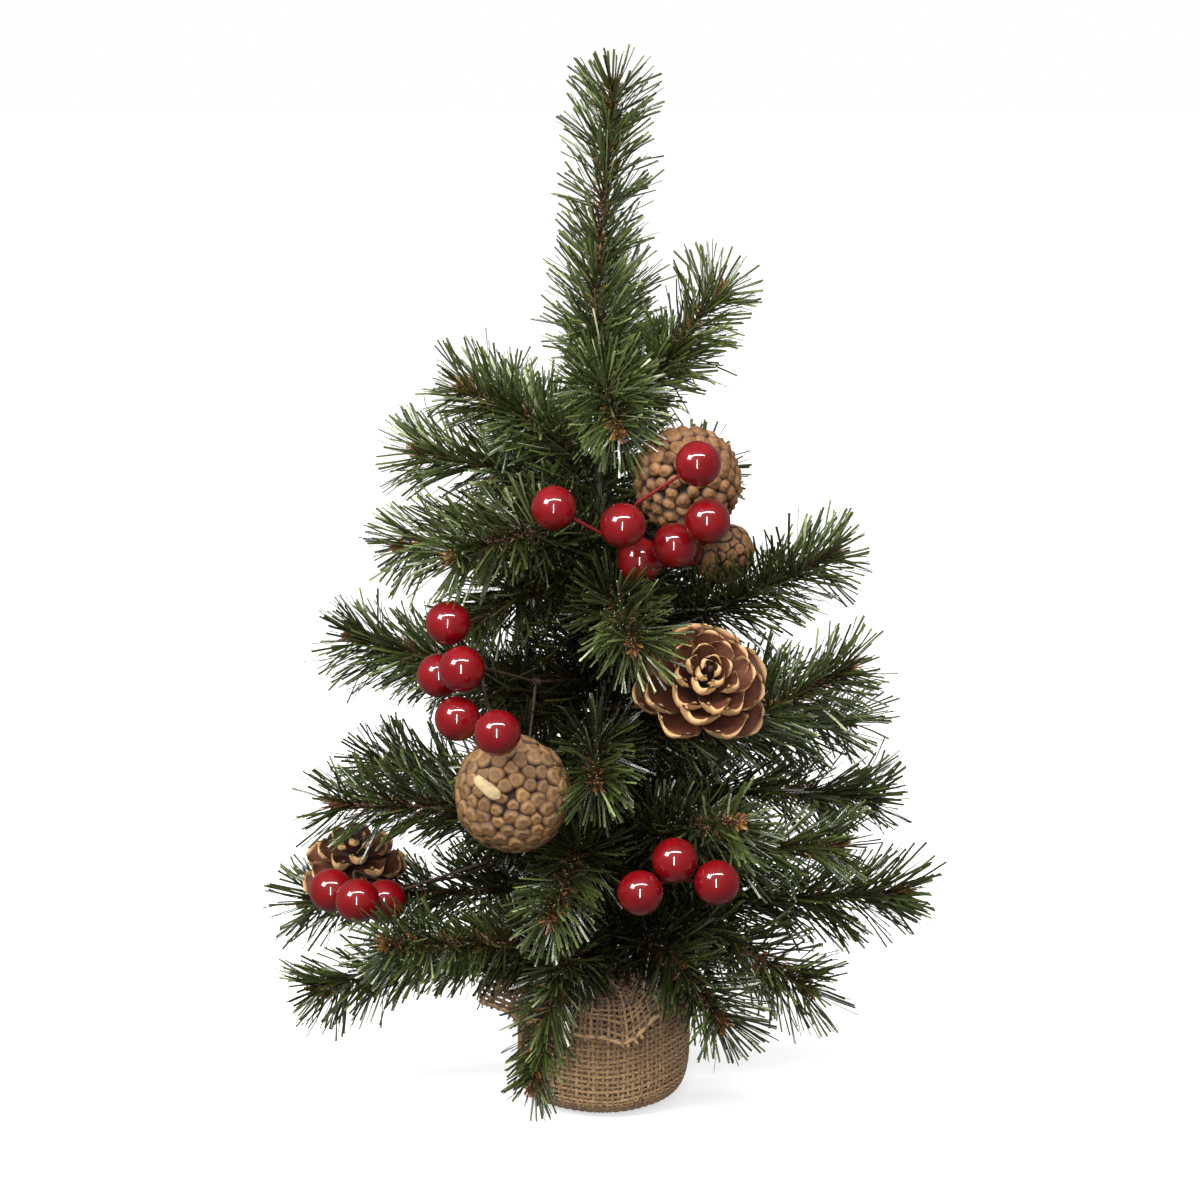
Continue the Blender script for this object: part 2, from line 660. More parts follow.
def needle_shape(needles):
    """All needles as one set of closed three-sided blades."""
    t = np.linspace(0, 1, NEEDLE_STATIONS)
    reach = needles["length"][:, None] * t
    centre = (needles["base"][:, None] + needles["way"][:, None] * reach[..., None]
              + needles["bend"][:, None] * (t * t)[None, :, None])
    moved = push_out(centre)
    kept = (np.linalg.norm(moved[:, 0] - centre[:, 0], axis=-1) < 1.5)
    stretch = np.linalg.norm(np.diff(moved, axis=1), axis=-1).sum(axis=1) / needles["length"]
    kept &= stretch < 1.25
    moved = moved[kept]
    needles = {key: value[kept] for key, value in needles.items()}
    count = len(moved)
    ahead = unit(np.gradient(moved, axis=1))
    across = unit(np.cross(ahead, needles["facing"][:, None]))
    above = np.cross(ahead, across)
    angle = needles["twist"][:, None, None] * (t - 0.3)[None, :, None]
    side = across * np.cos(angle) + above * np.sin(angle)
    up = np.cross(ahead, side)
    taper = np.ones(NEEDLE_STATIONS)
    taper[0] = 0.8
    half = needles["width"][:, None, None] * taper[None, :, None] / 2
    points = np.stack([moved - side * half, moved + side * half, moved + up * NEEDLE_RIDGE], axis=2)
    quads = ring_faces(NEEDLE_STATIONS, 3)
    flat = np.linalg.norm(moved[:, 1, :2], axis=-1) / OUTER_REACH
    depth = np.clip(np.maximum(flat, (moved[:, 1, 2] - 205.0) / 85.0), 0, 1)
    last = (NEEDLE_STATIONS - 1) * 3
    tris = [(0, 2, 1), (last, last + 1, last + 2)]
    each = NEEDLE_STATIONS * 3
    offset = np.arange(count)[:, None, None] * each
    shape = Shape()
    shape.add(
        points.reshape(-1, 3),
        (quads[None] + offset).reshape(-1, 4),
        (np.array(tris)[None] + offset).reshape(-1, 3),
        shade=np.repeat(needles["shade"], each),
        stub=np.repeat(needles["stub"], each),
        reach=np.tile(np.repeat(t, 3), count),
        depth=np.repeat(depth, each),
    )
    return shape, needle_uv(count)


def add_twisted_wire(shape, line):
    """Two strands wound round each other."""
    fine = resample(line, 0.9)
    tangent, normal, cross = moving_frame(fine)
    along = distances(fine)
    for strand in range(2):
        turn = 2 * math.pi * along / 5.5 + math.pi * strand
        centre = fine + 0.55 * (normal * np.cos(turn)[:, None] + cross * np.sin(turn)[:, None])
        add_tube(shape, centre, 0.52, 6)


def lapping_needles(rng, line):
    """Needles of the branch that lie up in front of the small cone behind it."""
    needles = grow(rng, line, 34.0, 6.0, (34.0, 2.5), (70.0, 14.0), 60.0, 0.0, last=84.0)
    shape = needles["way"].shape
    needles["way"] = unit(np.array([-0.12, -0.97, 0.12]) + rng.normal(0, 0.15, shape))
    needles["bend"] = np.array([0, 0, 17.0]) + rng.normal(0, 4.5, shape)
    return needles


FOLIAGE_SHADE = {
    "left_high": 0.12, "left_top": 0.06, "left_front": 0.05, "front_high": 0.04, "crown": 0.05,
    "right_low": -0.20, "right_base": -0.09, "right_front": -0.16, "front_mid": -0.13, "left_low": -0.12,
    "front_low": -0.06, "front_base": -0.04, "back_left": -0.12, "back_mid": -0.15, "back_high": -0.12,
}
NEEDLE_TRIM = {"front_base": 0.74, "front_low": 0.90, "front_mid": 0.90, "left_base": 0.90, "crown": 0.93}


def make_foliage(name, lines, start, rng, offset):
    """Needle brush and twisted wire of one body."""
    groups = []
    reach = (NEEDLE_LENGTH[0] * NEEDLE_TRIM.get(name, 1.0), NEEDLE_LENGTH[1])
    for line in lines:
        tip = distances(line)[-1] - TIP_STUBS
        groups.append(grow(rng, line, start, NEEDLES_PER_MM, reach, NEEDLE_SWEEP, TIP_SWEEP, 0.72))
        inner = grow(rng, line, 3.0, INNER_PER_MM, (23.0, 2.5), (72.0, 18.0), 70.0, 0.2, last=INNER_REACH)
        groups.append(inner)
        groups.append(grow(rng, line, start, STUBS_PER_MM, (5.2, 0.9), (62.0, 16.0), 38.0, 0.3, 0.8, True))
        groups.append(grow(rng, line, tip, TIP_STUBS_PER_MM, (5.6, 1.2), (40.0, 14.0), 24.0, 0.2, 0.9, True))
        if name == "right_high":
            groups.append(lapping_needles(rng, line))
    needles = join_needles(groups)
    needles["shade"] = np.clip(needles["shade"] + offset, 0, 1)
    shape, uv = needle_shape(needles)
    shape.make(f"{name}_needle_brush", NEEDLES, name, "needles", [f"{name}_needles"], smooth=False, uv=uv)


def make_trunk_wrap():
    """The needles of the branch ends that are bound in round the trunk."""
    rng = np.random.default_rng(60)
    groups = []
    for (low, high), length, sweep in TRUNK_WRAPS:
        line = np.zeros((120, 3))
        line[:, 2] = np.linspace(low, high, 120)
        groups.append(grow(rng, line, 0.0, 9.0, length, sweep, 60.0, 0.35, last=high - low, core=4.2))
    needles = join_needles(groups)
    needles["shade"] = np.clip(needles["shade"] - 0.12, 0, 1)
    shape, uv = needle_shape(needles)
    shape.make("trunk_needle_wrap", NEEDLES, "trunk", "needles", smooth=False, uv=uv)


def make_wires(name, lines, root, rng, extra=None):
    shape = Shape()
    for line in lines:
        add_twisted_wire(shape, line)
    add_ball(shape, root, KNOT_RADIUS, (0, 0, 1), 8, 12, rng=rng, rough=0.05)
    shape.make(f"{name}_twisted_wire", WIRE, name, "branch_wire", [f"{name}_wire"])
    if extra is not None:
        stem = Shape()
        add_taped_stem(stem, stem_points(extra), 1.0)
        stem.make(f"{name}_cone_stem", STEM, name, "berry_stem")


def make_branches():
    for number, (name, (height, arms)) in enumerate(BRANCHES.items()):
        rng = np.random.default_rng(100 + number)
        azimuths = [math.radians(arm[0]) for arm in arms]
        middle = math.atan2(sum(map(math.sin, azimuths)), sum(map(math.cos, azimuths)))
        root = np.array([ROOT_OFFSET * math.cos(middle), ROOT_OFFSET * math.sin(middle), height])
        lines = []
        for azimuth, rise, length, droop in arms:
            elbow = root + heading(azimuth, rise) * FIRST_RUN * length
            tip = elbow + heading(azimuth, rise - droop) * (1 - FIRST_RUN) * length
            trim = ARC_SHARE * min(FIRST_RUN * length - SLEEVE_START, (1 - FIRST_RUN) * length)
            lines.append(rounded([root, elbow, tip], [trim], 1.0))
        offset = rng.normal(0, 0.02) + FOLIAGE_SHADE.get(name, 0.0)
        make_foliage(name, lines, 5.0, rng, offset)
        make_wires(name, lines, root, rng, CONE_BACK_STEM if name == "right_high" else None)


def make_crown():
    rng = np.random.default_rng(77)
    lines = []
    for height, run_one, run_two, bare in CROWN_SHOOTS:
        start = np.array([0, 0, height])
        elbow = start + heading(*run_one[:2]) * run_one[2]
        tip = elbow + heading(*run_two[:2]) * run_two[2]
        trim = ARC_SHARE * min(run_one[2] - bare, run_two[2])
        lines.append(rounded([start, elbow, tip], [trim], 1.0))
    make_foliage("crown", lines, 4.0, rng, FOLIAGE_SHADE["crown"])
    make_wires("crown", lines, np.array([0, 0, CROWN_ROOT]), rng)


# ---------------------------------------------------------------- berries
def stem_points(points, knots=()):
    """A stem's points, with knot numbers and cone names turned into places."""
    places = []
    for point in points:
        if isinstance(point, str):
            places.append(cone_pivot(point))
        else:
            places.append(np.array(knots[point] if isinstance(point, int) else point, float))
    return places


def add_taped_stem(shape, points, main):
    """A wire wrapped in paper tape, with the wrap's low ridges."""
    trims = []
    for before, corner, after in zip(points, points[1:], points[2:]):
        turn = math.acos(float(np.clip(unit(corner - before) @ unit(after - corner), -1, 1)))
        trims.append(STEM_BEND * math.tan(turn / 2))
    line = rounded(points, trims, STEM_STEP)
    wrap = (distances(line)[:, None] / TAPE_PITCH - full_turn(8)[None] / (2 * math.pi)) % 1.0
    add_tube(shape, line, STEM_RADIUS * (0.88 + 0.14 * wrap), 8, main=main)


def add_stem_coil(shape, centre, way):
    """The turns of a stem's wire where picks are bound together."""
    way, across, up = axis_frame(way)
    t = np.linspace(0, COIL_TURNS * 2 * math.pi, int(COIL_TURNS * 18))
    rise = (t / (2 * math.pi) - COIL_TURNS / 2) * COIL_PITCH
    ring = across * np.cos(t)[:, None] + up * np.sin(t)[:, None]
    add_tube(shape, centre + way * rise[:, None] + COIL_RADIUS * ring, 0.5, 7, main=1.0)


def make_picks():
    for number, (name, pick) in enumerate(PICKS.items()):
        rng = np.random.default_rng(300 + number)
        knots = pick["knots"]
        stems, berries = Shape(), Shape()
        for points in pick["stems"]:
            add_taped_stem(stems, stem_points(points, knots), 1.0)
        for points in pick["berries"]:
            points = stem_points(points, knots)
            centre = points[-1]
            way = unit(centre - points[-2])
            mouth = centre - way * (BERRY_RADIUS - BERRY_SEAT)
            add_taped_stem(stems, points[:-1] + [mouth], 1.0 if name in BROWN_PICKS else 0.0)
            radius = BERRY_RADIUS * rng.uniform(0.975, 1.0)
            size = np.array([radius, radius * rng.uniform(0.985, 1.0), radius * rng.uniform(0.97, 0.995)])
            add_ball(berries, centre, size, way, 40, 56, dimple=0.10, seat=0.0)
            add_ball(berries, centre - way * (BERRY_RADIUS - 0.75), (1.35, 1.35, 0.5), way, 8, 16, seat=1.0)
        for knot, place in enumerate(knots):
            bound = next(points for points in pick["stems"] + pick["berries"] if knot in points)
            start, end = stem_points(bound[:2], knots)
            add_stem_coil(stems, np.array(place, float), end - start)
        stems.make(f"{name}_taped_stems", STEM, name, "berry_stem", [f"{name}_stems"])
        if pick["berries"]:
            berries.make(f"{name}_lacquered_berries", BERRY, name, "berry", [f"{name}_berries"])


# ---------------------------------------------------------------- cones
def scale_cap(size_across, size_up, height, umbo, rng):
    """A rounded closed scale seen from outside: local points, faces and marks."""
    rings = np.array([0.0, 0.12, 0.22, 0.32, 0.42, 0.54, 0.66, 0.78, 0.88, 0.95, 1.0])
    sides = 18
    turn = full_turn(sides)
    r, t = np.meshgrid(rings[1:], turn, indexing="ij")
    wobble = 1 + 0.05 * np.sin(3 * t + rng.uniform(0, 6)) + 0.04 * np.sin(2 * t + rng.uniform(0, 6))
    x = r * np.cos(t) * size_across * wobble
    y = r * np.sin(t) * size_up * wobble
    z = height * (1 - r ** 2.6) ** 0.6 + 0.08 * hump(r, 0.40, 0.10) + umbo * hump(r, 0.0, 0.26)
    z -= 0.6 * height * (r > 0.99)
    z += 0.07 * height * np.sin(5 * t + rng.uniform(0, 6)) * r
    points = np.concatenate([[[0, 0, height + umbo]], np.stack([x, y, z], axis=-1).reshape(-1, 3)])
    quads = ring_faces(len(rings) - 1, sides)[:, ::-1] + 1
    side = np.arange(sides)
    tris = np.stack([np.zeros(sides, int), side + 1, (side + 1) % sides + 1], axis=1)
    flat = r.reshape(-1)
    marks = {
        "ring": np.concatenate([[0.25], hump(flat, 0.30, 0.09) * 0.28 + 0.2 * hump(flat, 0.0, 0.2)]),
        "gap": np.concatenate([[0.0], smooth_step((flat - 0.70) / 0.18)]),
        "rim": np.concatenate([[0.0], hump(flat, 0.54, 0.10) * 0.16]),
    }
    return points, quads, tris, marks


def add_placed(shape, local, quads, tris, marks, origin, x, y, z, hue):
    points = origin + local[:, :1] * x + local[:, 1:2] * y + local[:, 2:3] * z
    shape.add(points, quads, tris, hue=hue, **marks)


def closed_profile(share, radius):
    """Radius of a closed cone at a share of its length, from the outward base to the tip."""
    return radius * np.sin(math.pi * np.clip(share, 0.0, 1.0) ** 0.72) ** 0.62


def add_chip(shape, low, high):
    """A flat splinter of wood left standing on a cone's base, its broad face forward."""
    t = np.linspace(0, 1, 16)
    line = low + (high - low) * t[:, None] - np.array([0, 1, 0]) * (1.6 * np.sin(math.pi * t * 0.8))[:, None]
    ahead = unit(high - low)
    face = unit(np.array([0.12, -1.0, 0.10]))
    side = unit(np.cross(ahead, face))
    turn = full_turn(12)
    half = 2.3 * (1 - (2 * t - 1) ** 6) ** 0.5 * (1 + 0.10 * np.sin(5 * t)) + 0.15
    thick = 0.62 * (1 - (2 * t - 1) ** 8) ** 0.5 + 0.08
    wide = half[:, None, None] * np.cos(turn)[None, :, None] * side
    deep = thick[:, None, None] * np.sin(turn)[None, :, None] * face
    points = line[:, None] + wide + deep
    last = (len(t) - 1) * 12
    tris = [(0, k, k + 1) for k in range(1, 11)] + [(last, last + k + 1, last + k) for k in range(1, 11)]
    shape.add(points, ring_faces(len(t), 12), tris, hue=0.9, ring=0.0, gap=0.0, rim=1.0)


def make_closed_cone(name, material, seed, stalk, count, recess, cap, relief, umbo):
    """A cone with its scales shut, its base facing away from the wire."""
    centre, way, length, radius = CONES[name]
    way, across, up = axis_frame(way)
    rng = np.random.default_rng(seed)
    far = np.array(centre, float) + way * length / 2
    shape = Shape()
    fine = np.linspace(0.0, 1.0, 600)
    outline = closed_profile(fine, radius)
    band = np.hypot(np.diff(outline), length / 599) * math.pi * (outline[1:] + outline[:-1])
    covered = np.concatenate([[0.0], np.cumsum(band)])
    spacing = math.sqrt(covered[-1] / count)
    shares = np.interp(np.linspace(0, covered[-1], 30), covered, fine)
    body = np.maximum(closed_profile(shares, radius) - relief, 0.3)
    axis_line = far - way * (relief + shares * (length - 2 * relief))[:, None]
    turn = full_turn(36)
    ring = across * np.cos(turn)[:, None] + up * np.sin(turn)[:, None]
    grid = axis_line[:, None] + ring[None] * body[:, None, None]
    core = ring_faces(len(shares), 36)[:, ::-1]
    shape.add(grid.reshape(-1, 3), core, None, hue=0.4, ring=0.0, gap=1.0, rim=0.0)
    slopes = np.gradient(outline, fine)
    for k in range(count):
        share = float(np.interp((k + 0.5) / count * covered[-1], covered, fine))
        here, slope = float(np.interp(share, fine, outline)), float(np.interp(share, fine, slopes))
        spin = k * GOLDEN_TURN
        outward = across * math.cos(spin) + up * math.sin(spin)
        along = unit(-way * length + outward * slope)
        normal = unit(outward * length + way * slope)
        side = np.cross(along, normal)
        sink = recess * math.exp(-((here / 3.4) ** 2))
        origin = far - way * (share * length + sink) + outward * here
        origin = origin - normal * (relief + rng.uniform(-0.5, 0.7))
        grown = np.interp(here / radius, [0, 0.3, 1.0], [0.84, 0.95, 1.10]) * rng.uniform(0.86, 1.14)
        wide, tall = spacing * cap[0] * grown, spacing * cap[1] * grown
        local, quads, tris, marks = scale_cap(wide, tall, relief, umbo, rng)
        normal = unit(normal + along * rng.normal(0.05, 0.05))
        along = np.cross(normal, side)
        add_placed(shape, local, quads, tris, marks, origin, side, along, normal, rng.uniform(0, 1))
    if stalk:
        add_chip(shape, far + np.array(stalk[0]), far + np.array(stalk[1]))
    shape.make(f"{name}_closed_scales", material, name, "pine_cone", [name])


def petal(width, long, curl, lip, rng):
    """One open scale: local x across, y outward along it, z up its inner face."""
    rows, columns = 13, 11
    u = np.linspace(0, 1, rows)
    v = np.linspace(-1, 1, columns)
    reach = u * long
    half = width / 2 * (0.30 + 0.70 * np.sin(np.clip(u, 0, 0.80) / 0.80 * math.pi / 2) ** 0.9)
    half = half * np.where(u > 0.80, np.sqrt(np.clip(1 - ((u - 0.80) / 0.215) ** 2 * 0.72, 0.0, 1)), 1.0)
    cup = 0.20 * width * (v ** 2)[None] * (0.4 + 0.6 * u)[:, None]
    lift = (curl * long * u ** 2.4)[:, None] + cup
    wave = 0.22 * np.sin(3.0 * v + rng.uniform(0, 6))[None] * (u ** 2)[:, None]
    x = half[:, None] * v[None]
    y = reach[:, None] - 0.10 * long * (v ** 2)[None] * (u ** 1.5)[:, None]
    lip = lip * smooth_step((u - 0.70) / 0.18) * (1 - 0.15 * smooth_step((u - 0.93) / 0.07))
    swell = 0.45 + 0.55 * u + lip
    edge = 1 - np.abs(v) ** 6
    body = swell[:, None] * (0.30 + 0.70 * edge[None])
    top = np.stack([x, y, lift + wave], axis=-1)
    low = np.stack([x, y - 0.25 * body * (u > 0.7)[:, None], lift + wave - body], axis=-1)
    points = np.concatenate([top, low[:, ::-1]], axis=1).reshape(-1, 3)
    sides = 2 * columns
    tip = (rows - 1) * sides
    column = np.arange(columns - 1)
    back = np.stack([column + 1, column, sides - 1 - column, sides - 2 - column], axis=1)
    front = tip + back[:, [1, 0, 3, 2]]
    quads = np.concatenate([ring_faces(rows, sides), front, back])
    edge = np.abs(v)[None]
    u = u[:, None]
    side_lip = smooth_step((edge - 0.88) / 0.12) * smooth_step((u - 0.5) / 0.3)
    lip_top = 0.9 * smooth_step((u - 0.95) / 0.04) + 0.25 * side_lip
    across = np.ones((1, columns))
    marks = {
        "rim": (lip_top, smooth_step((u - 0.68) / 0.12) * across),
        "gap": ((0.85 - 1.3 * u) * across, (0.95 - 1.1 * u) * across),
        "ring": (0 * u * across, 0.25 * across + 0 * u),
    }
    joined = {key: np.clip(np.concatenate(pair, axis=1), 0, 1).ravel() for key, pair in marks.items()}
    return points, quads, joined


def make_open_cone(name, material, seed, count, spread, sizes, lift, tilt=(0, 0, 0), lifted=0.0):
    """A cone whose scales stand open, its tip facing away from the wire."""
    centre, way, length, radius = CONES[name]
    foot = np.array(centre, float) - unit(np.array(way, float)) * length / 2 + np.array([0.0, 0.0, lifted])
    way, across, up = axis_frame(np.array(way, float) + np.array(tilt, float))
    rng = np.random.default_rng(seed)
    shape = Shape()
    core = foot + way * np.linspace(1.0, length * 0.80, 14)[:, None]
    thick = np.linspace(5.0, 1.2, 14)
    add_tube(shape, core, thick, 14, hue=0.3, ring=0.0, gap=0.9, rim=0.0)
    for k in range(count):
        share = (k + 0.5) / count
        spin = k * GOLDEN_TURN + rng.normal(0, 0.05)
        outward = across * math.cos(spin) + up * math.sin(spin)
        open_angle = math.radians(np.interp(share, [0, 0.25, 0.6, 0.85, 1.0], spread) + rng.normal(0, 3.0))
        along = unit(way * math.cos(open_angle) + outward * math.sin(open_angle))
        inner = unit(way * math.sin(open_angle) - outward * math.cos(open_angle))
        side = np.cross(along, inner)
        long = radius * np.interp(share, [0, 0.2, 0.6, 1.0], sizes) * rng.uniform(0.95, 1.05)
        wide = long * np.interp(share, [0, 0.3, 1.0], [0.80, 0.76, 0.62]) * rng.uniform(0.93, 1.07)
        origin = foot + way * (length * (0.07 + lift * share))
        origin = origin + outward * np.interp(share, [0, 1], [3.4, 0.6])
        curl = np.interp(share, [0, 0.5, 1.0], [0.20, 0.26, 0.24]) + rng.normal(0, 0.02)
        local, quads, marks = petal(wide, long, curl, np.interp(share, [0, 0.6, 1.0], [3.6, 3.0, 1.1]), rng)
        add_placed(shape, local, quads, None, marks, origin, side, along, inner, rng.uniform(0, 1))
    shape.make(f"{name}_open_scales", material, name, "pine_cone", [name])


# ---------------------------------------------------------------- sack
YARN_PITCH = 2.25
YARN_HALF_WIDTH = 0.80
YARN_HALF_THICK = 0.33
WEAVE_HEIGHT = 0.30
WARP_COUNT = 104
DRAPE_TURN = -1.45
TIE_RADIUS = 10.3
FLOOR_REACH = 20.5
HEM_HALF_WIDTH = 1.15
PLEATS = 15
SACK_LINE = [
    (19, 0.85), (36.9, 0.85), (36.9, 45.4), (7.3, 48.6), (7.3, 55.6),
    (12.5, 57.6), (29, 56.2), (40, 51.5), (44, 43),
]
SACK_TRIMS = [17.2, 7.0, 2.0, 2.0, 4.0, 6.0, 5.0]


# The collar's hem: (azimuth, how far it is lifted, how far it is pushed out)
HEM = [
    (-180, 4, 9), (-165, 2, 8), (-150, 0, 3), (-130, -1, 0), (-108, -3, -1), (-90, -5, 0), (-79, -7, 1),
    (-70, -3, 1), (-60, 3, 1), (-44, 5, 0), (-30, 4, 0), (0, 3, 0), (25, 6, 2), (55, -1, -2), (85, 5, 2),
    (115, -2, -2), (145, 4, 3), (165, 5, 7), (180, 4, 9),
]


class Sack:
    """The sack's cloth as a surface over (turn, distance along its outline)."""

    def __init__(self):
        outline = rounded([(r, 0.0, z) for r, z in SACK_LINE], SACK_TRIMS, 0.5)
        self.r, self.z = outline[:, 0], outline[:, 2]
        self.s = distances(outline)
        self.length = self.s[-1]
        dr, dz = np.gradient(self.r, self.s), np.gradient(self.z, self.s)
        self.nr, self.nz = dz, -dr
        neck = np.argmin(np.abs(self.r - 7.3) + np.abs(self.z - 55.0) * 0.2)
        self.collar = self.s[neck]
        self.shoulder = self.s[np.argmax(self.z > 36.0)]

    def at(self, turn, s):
        turn, s = np.broadcast_arrays(turn, s)
        turn = turn.astype(float)
        beyond = np.maximum(s - self.length, 0.0)
        r, z = np.interp(s, self.s, self.r), np.interp(s, self.s, self.z)
        nr, nz = np.interp(s, self.s, self.nr), np.interp(s, self.s, self.nz)
        r, z = r + beyond * 0.5, z - beyond * 0.86
        neck = self.collar
        stations = [self.shoulder, self.shoulder + 14, neck - 5, neck + 3, neck + 20, self.length]
        gather = np.interp(s, stations, [0.0, 1.0, 1.5, 1.3, 1.8, 0.6])
        pleat = gather * np.cos(PLEATS * turn + 1.6 * np.sin(2 * turn + 0.7))
        r, z = r + nr * pleat, z + nz * pleat
        flare = smooth_step((s - self.collar - 4) / (self.length - self.collar - 4))
        wrapped = np.degrees((turn + math.pi) % (2 * math.pi) - math.pi)
        lift, push = (np.interp(wrapped, [row[0] for row in HEM], [row[k] for row in HEM]) for k in (1, 2))
        r = r + flare * (push + 0.8 * np.cos(9 * turn + 2.0))
        z = z + flare * (lift + 0.8 * np.sin(11 * turn))
        body = np.clip(z / 12.0, 0, 1) * np.clip((46.0 - z) / 8.0, 0, 1) * (s < self.collar)
        r = r - body * 0.35 * (1 + np.sin(3 * turn + 0.05 * z) * np.sin(0.13 * z + 1.0))
        drape = hump((turn - DRAPE_TURN + math.pi) % (2 * math.pi), math.pi, 0.6)
        z = z + body * (2.2 * np.cos(turn) - 3.6 * drape)
        return np.stack([r * np.cos(turn), r * np.sin(turn), z], axis=-1)

    def normal(self, turn, s):
        step = 0.01
        over = self.at(turn + step, s) - self.at(turn - step, s)
        along = self.at(turn, s + 0.3) - self.at(turn, s - 0.3)
        return unit(np.cross(over, along))


def add_yarn(shape, centre, normal, half_width, closed, tone):
    """A flat yarn: four points round, wider across the cloth than through it."""
    if closed:
        ahead = unit(np.roll(centre, -1, axis=0) - np.roll(centre, 1, axis=0))
    else:
        ahead = unit(np.gradient(centre, axis=0))
    side = unit(np.cross(normal, ahead))
    up = np.cross(ahead, side)
    half = np.broadcast_to(half_width, (len(centre),))[:, None]
    thick = YARN_HALF_THICK
    across, over = side * half, up * thick
    points = np.stack([centre + across, centre + over, centre - across, centre - over], axis=1)
    quads = ring_faces(len(centre), 4, closed)
    if not closed:
        last = (len(centre) - 1) * 4
        quads = np.concatenate([quads, [(3, 2, 1, 0), (last, last + 1, last + 2, last + 3)]])
    shape.add(points.reshape(-1, 3), quads, None, tone=np.repeat(tone, 4) if np.ndim(tone) else tone)


def make_sack():
    rng = np.random.default_rng(11)
    sack = Sack()
    shape = Shape()
    turns = 2 * math.pi * np.arange(WARP_COUNT) / WARP_COUNT
    weft_count = int(sack.length / YARN_PITCH)
    pitch = sack.length / weft_count

    def tone_at(points, own):
        height = np.clip((points[..., 2] - 30.0) / 26.0, 0, 1)
        return np.clip(own - 0.62 * height, 0, 1)

    for j, turn in enumerate(turns):
        fringe = rng.uniform(0.6, 3.2)
        s = np.linspace(0.0, sack.length + fringe, int((sack.length + fringe) / 1.25))
        wander = 0.010 * np.sin(s * 0.11 + rng.uniform(0, 6)) + rng.normal(0, 0.003)
        place = turn + wander
        centre, normal = sack.at(place, s), sack.normal(place, s)
        spacing = 2 * math.pi * np.hypot(centre[:, 0], centre[:, 1]) / WARP_COUNT
        half = np.minimum(YARN_HALF_WIDTH, 0.42 * spacing) * (1 + 0.14 * np.sin(s * 0.7 + rng.uniform(0, 6)))
        over = WEAVE_HEIGHT * np.cos(math.pi * (s / pitch + j)) * (s < sack.length + 0.5)
        centre = centre + normal * over[:, None]
        loose = np.clip((s - sack.length) / 2.5, 0, 1)[:, None] ** 2
        centre = centre + loose * rng.normal(0, 1.0, 3)
        add_yarn(shape, centre, normal, half, False, tone_at(centre, rng.uniform(0.35, 1.0)))
    around = full_turn(WARP_COUNT * 2)
    for i in range(weft_count):
        s = np.full(len(around), (i + 0.5) * pitch)
        s = s + 0.18 * np.sin(3 * around + rng.uniform(0, 6)) + 0.10 * np.sin(11 * around + rng.uniform(0, 6))
        centre, normal = sack.at(around, s), sack.normal(around, s)
        half = YARN_HALF_WIDTH * (1 + 0.16 * np.sin(9 * around + rng.uniform(0, 6)))
        out = np.hypot(centre[:, 0], centre[:, 1])
        half = half * np.clip(out / 20.0, 0.45, 1.0)
        over = -WEAVE_HEIGHT * np.cos(math.pi * (np.arange(len(around)) / 2 + i))
        centre = centre + normal * over[:, None]
        add_yarn(shape, centre, normal, half, True, tone_at(centre, rng.uniform(0.3, 0.95)))
    lanes = np.arange(-9, 10) * YARN_PITCH
    for number, lane in enumerate(lanes):
        reach = math.sqrt(FLOOR_REACH ** 2 - lane ** 2)
        run = np.linspace(-reach, reach, max(5, int(2 * reach / 1.25)))
        for flip in (0, 1):
            wave = 0.16 * np.cos(math.pi * (run / YARN_PITCH + number + flip))
            flat = np.full(len(run), lane)
            pair = (run, flat) if flip else (flat, run)
            centre = np.stack([pair[0], pair[1], 0.72 + wave], axis=1)
            normal = np.tile([0.0, 0.0, -1.0], (len(run), 1))
            add_yarn(shape, centre, normal, YARN_HALF_WIDTH, False, rng.uniform(0.4, 0.9))
    hem = sack.length - 0.4
    add_yarn(shape, sack.at(around, hem), sack.normal(around, hem), HEM_HALF_WIDTH, True, 1.0)
    cloth = shape.make("woven_burlap_sack", BURLAP, "trunk", "burlap", ["burlap_sack"])


def add_strands(shape, line, thick, pitch, rng):
    """A cord's three strands, twisted along a line."""
    tangent, normal, cross = moving_frame(line)
    along = distances(line)
    for strand in range(3):
        turn = 2 * math.pi * (along / pitch + strand / 3)
        centre = line + thick * (normal * np.cos(turn)[:, None] + cross * np.sin(turn)[:, None])
        slub = thick * (1 + 0.10 * np.sin(along * 1.3 + rng.uniform(0, 6)))
        add_tube(shape, centre, slub, 7, tone=rng.uniform(0.4, 0.8))


def make_tie():
    """Two turns of jute twine round the neck, knotted at the back."""
    rng = np.random.default_rng(12)
    shape = Shape()
    back = math.pi / 2
    t = np.linspace(back, back + 4 * math.pi, 260)
    height = 50.5 + 2.8 * (t - back) / (4 * math.pi)
    radius = TIE_RADIUS + 0.15 * np.sin(3 * t)
    coil = np.stack([radius * np.cos(t), radius * np.sin(t), height], axis=1)
    add_strands(shape, coil, 0.62, 6.0, rng)
    for sign in (-1, 1):
        end = np.array([(0.5, 10.6, 52.0), (3, 13.5, 53.0), (7.5, 16.5, 51.6), (11, 19.0, 50.6)])
        end[:, 0] *= sign
        add_strands(shape, rounded(end, [1.5, 2.5], 0.6), 0.55, 5.0, rng)
    add_ball(shape, (0, 11.6, 52.0), (2.3, 1.9, 1.9), (1, 0, 0.2), 14, 20, rng=rng, rough=0.07, tone=0.6)
    shape.make("twine_neck_tie", BURLAP, "trunk", "jute", ["neck_tie"])


